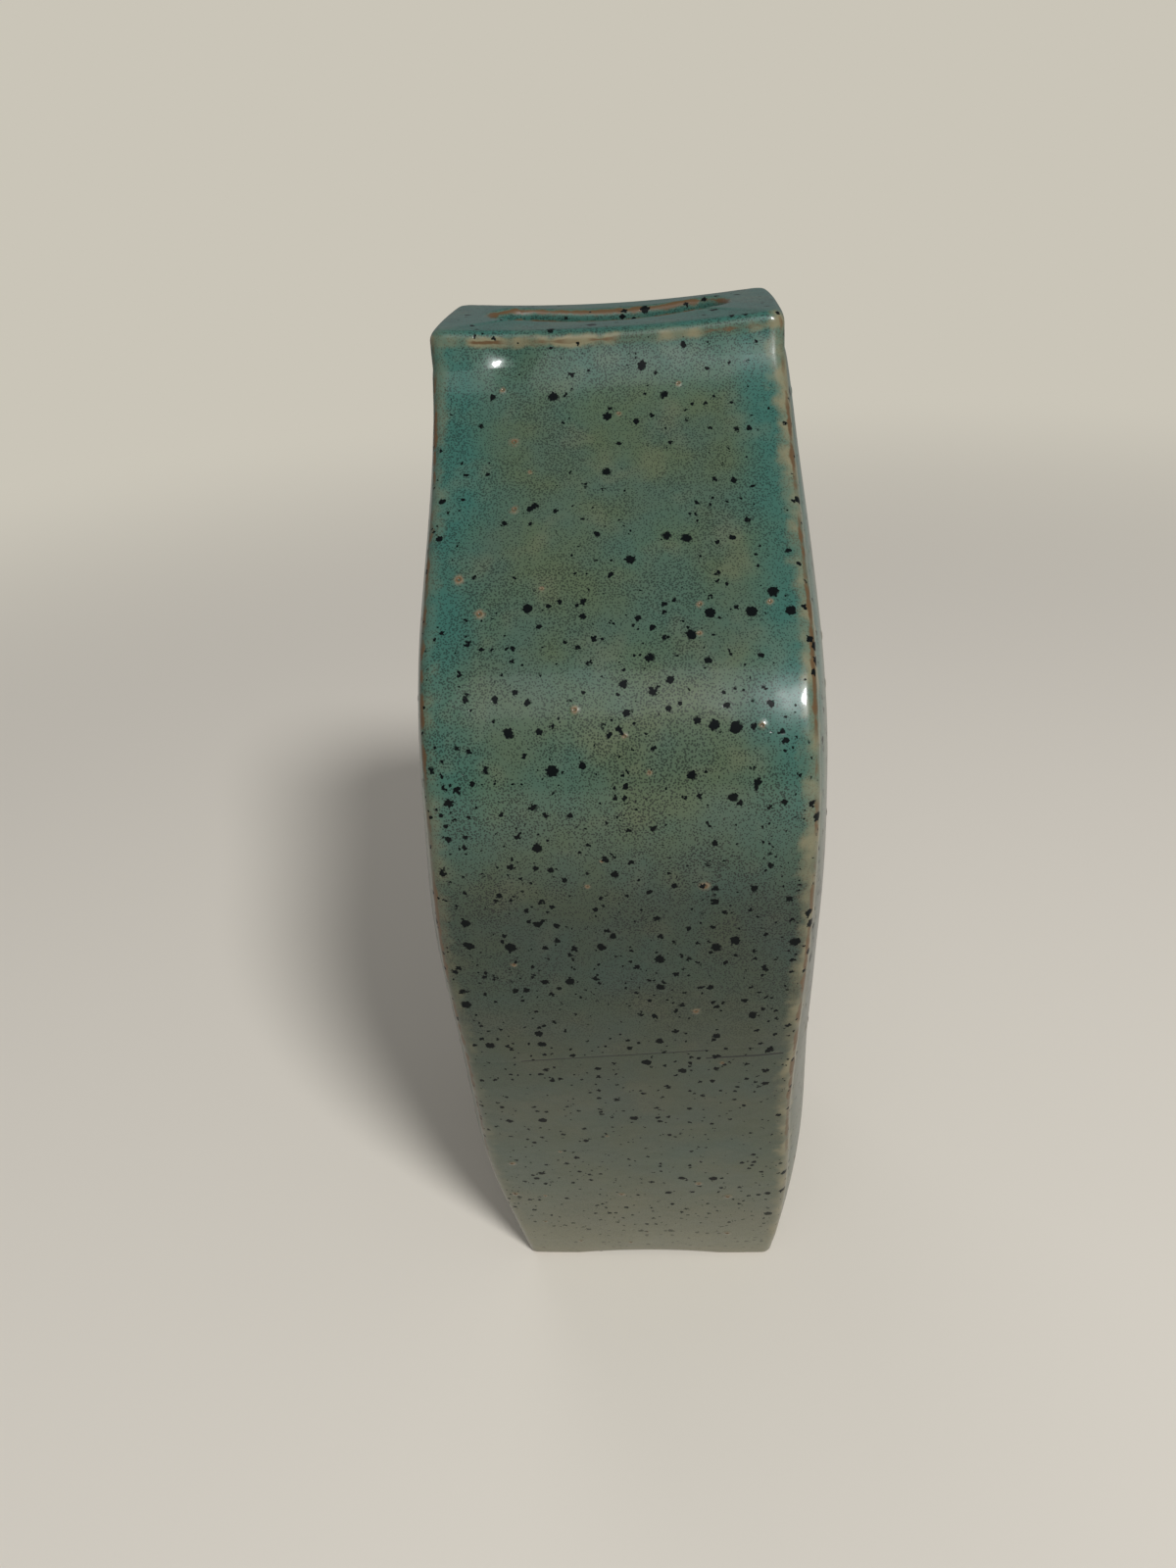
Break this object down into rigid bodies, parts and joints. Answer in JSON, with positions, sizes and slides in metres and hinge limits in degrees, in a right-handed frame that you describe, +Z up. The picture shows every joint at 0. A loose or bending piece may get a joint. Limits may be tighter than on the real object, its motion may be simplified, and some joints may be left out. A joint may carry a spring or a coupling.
{
  "type": "pillow vase",
  "caption": "Slab-built pillow vase: bent edge strips, swelling side panels, floor slab and a slotted rim over a short neck.",
  "frame": {"origin": "middle of the foot, on the surface that the vase stands on", "axes": "+Z up through the mouth, X along the width of the narrow edge strips, -Y towards the front strip"},
  "size_m": [0.072, 0.14, 0.1998],
  "materials": {
    "glaze": "glossy teal-green glaze over speckled stoneware, breaking rust brown on the edges",
    "bare_clay": "unglazed buff stoneware"
  },
  "bodies": {
    "root": {"front_strip_lower": "glaze", "front_strip_upper": "glaze", "back_strip_lower": "glaze", "back_strip_upper": "glaze", "left_panel": "glaze", "right_panel": "glaze", "mouth_rim": "glaze", "floor_slab": "bare_clay", "corner_coil_front_left": "bare_clay", "corner_coil_front_right": "bare_clay", "corner_coil_back_left": "bare_clay", "corner_coil_back_right": "bare_clay"}
  },
  "joints": []
}
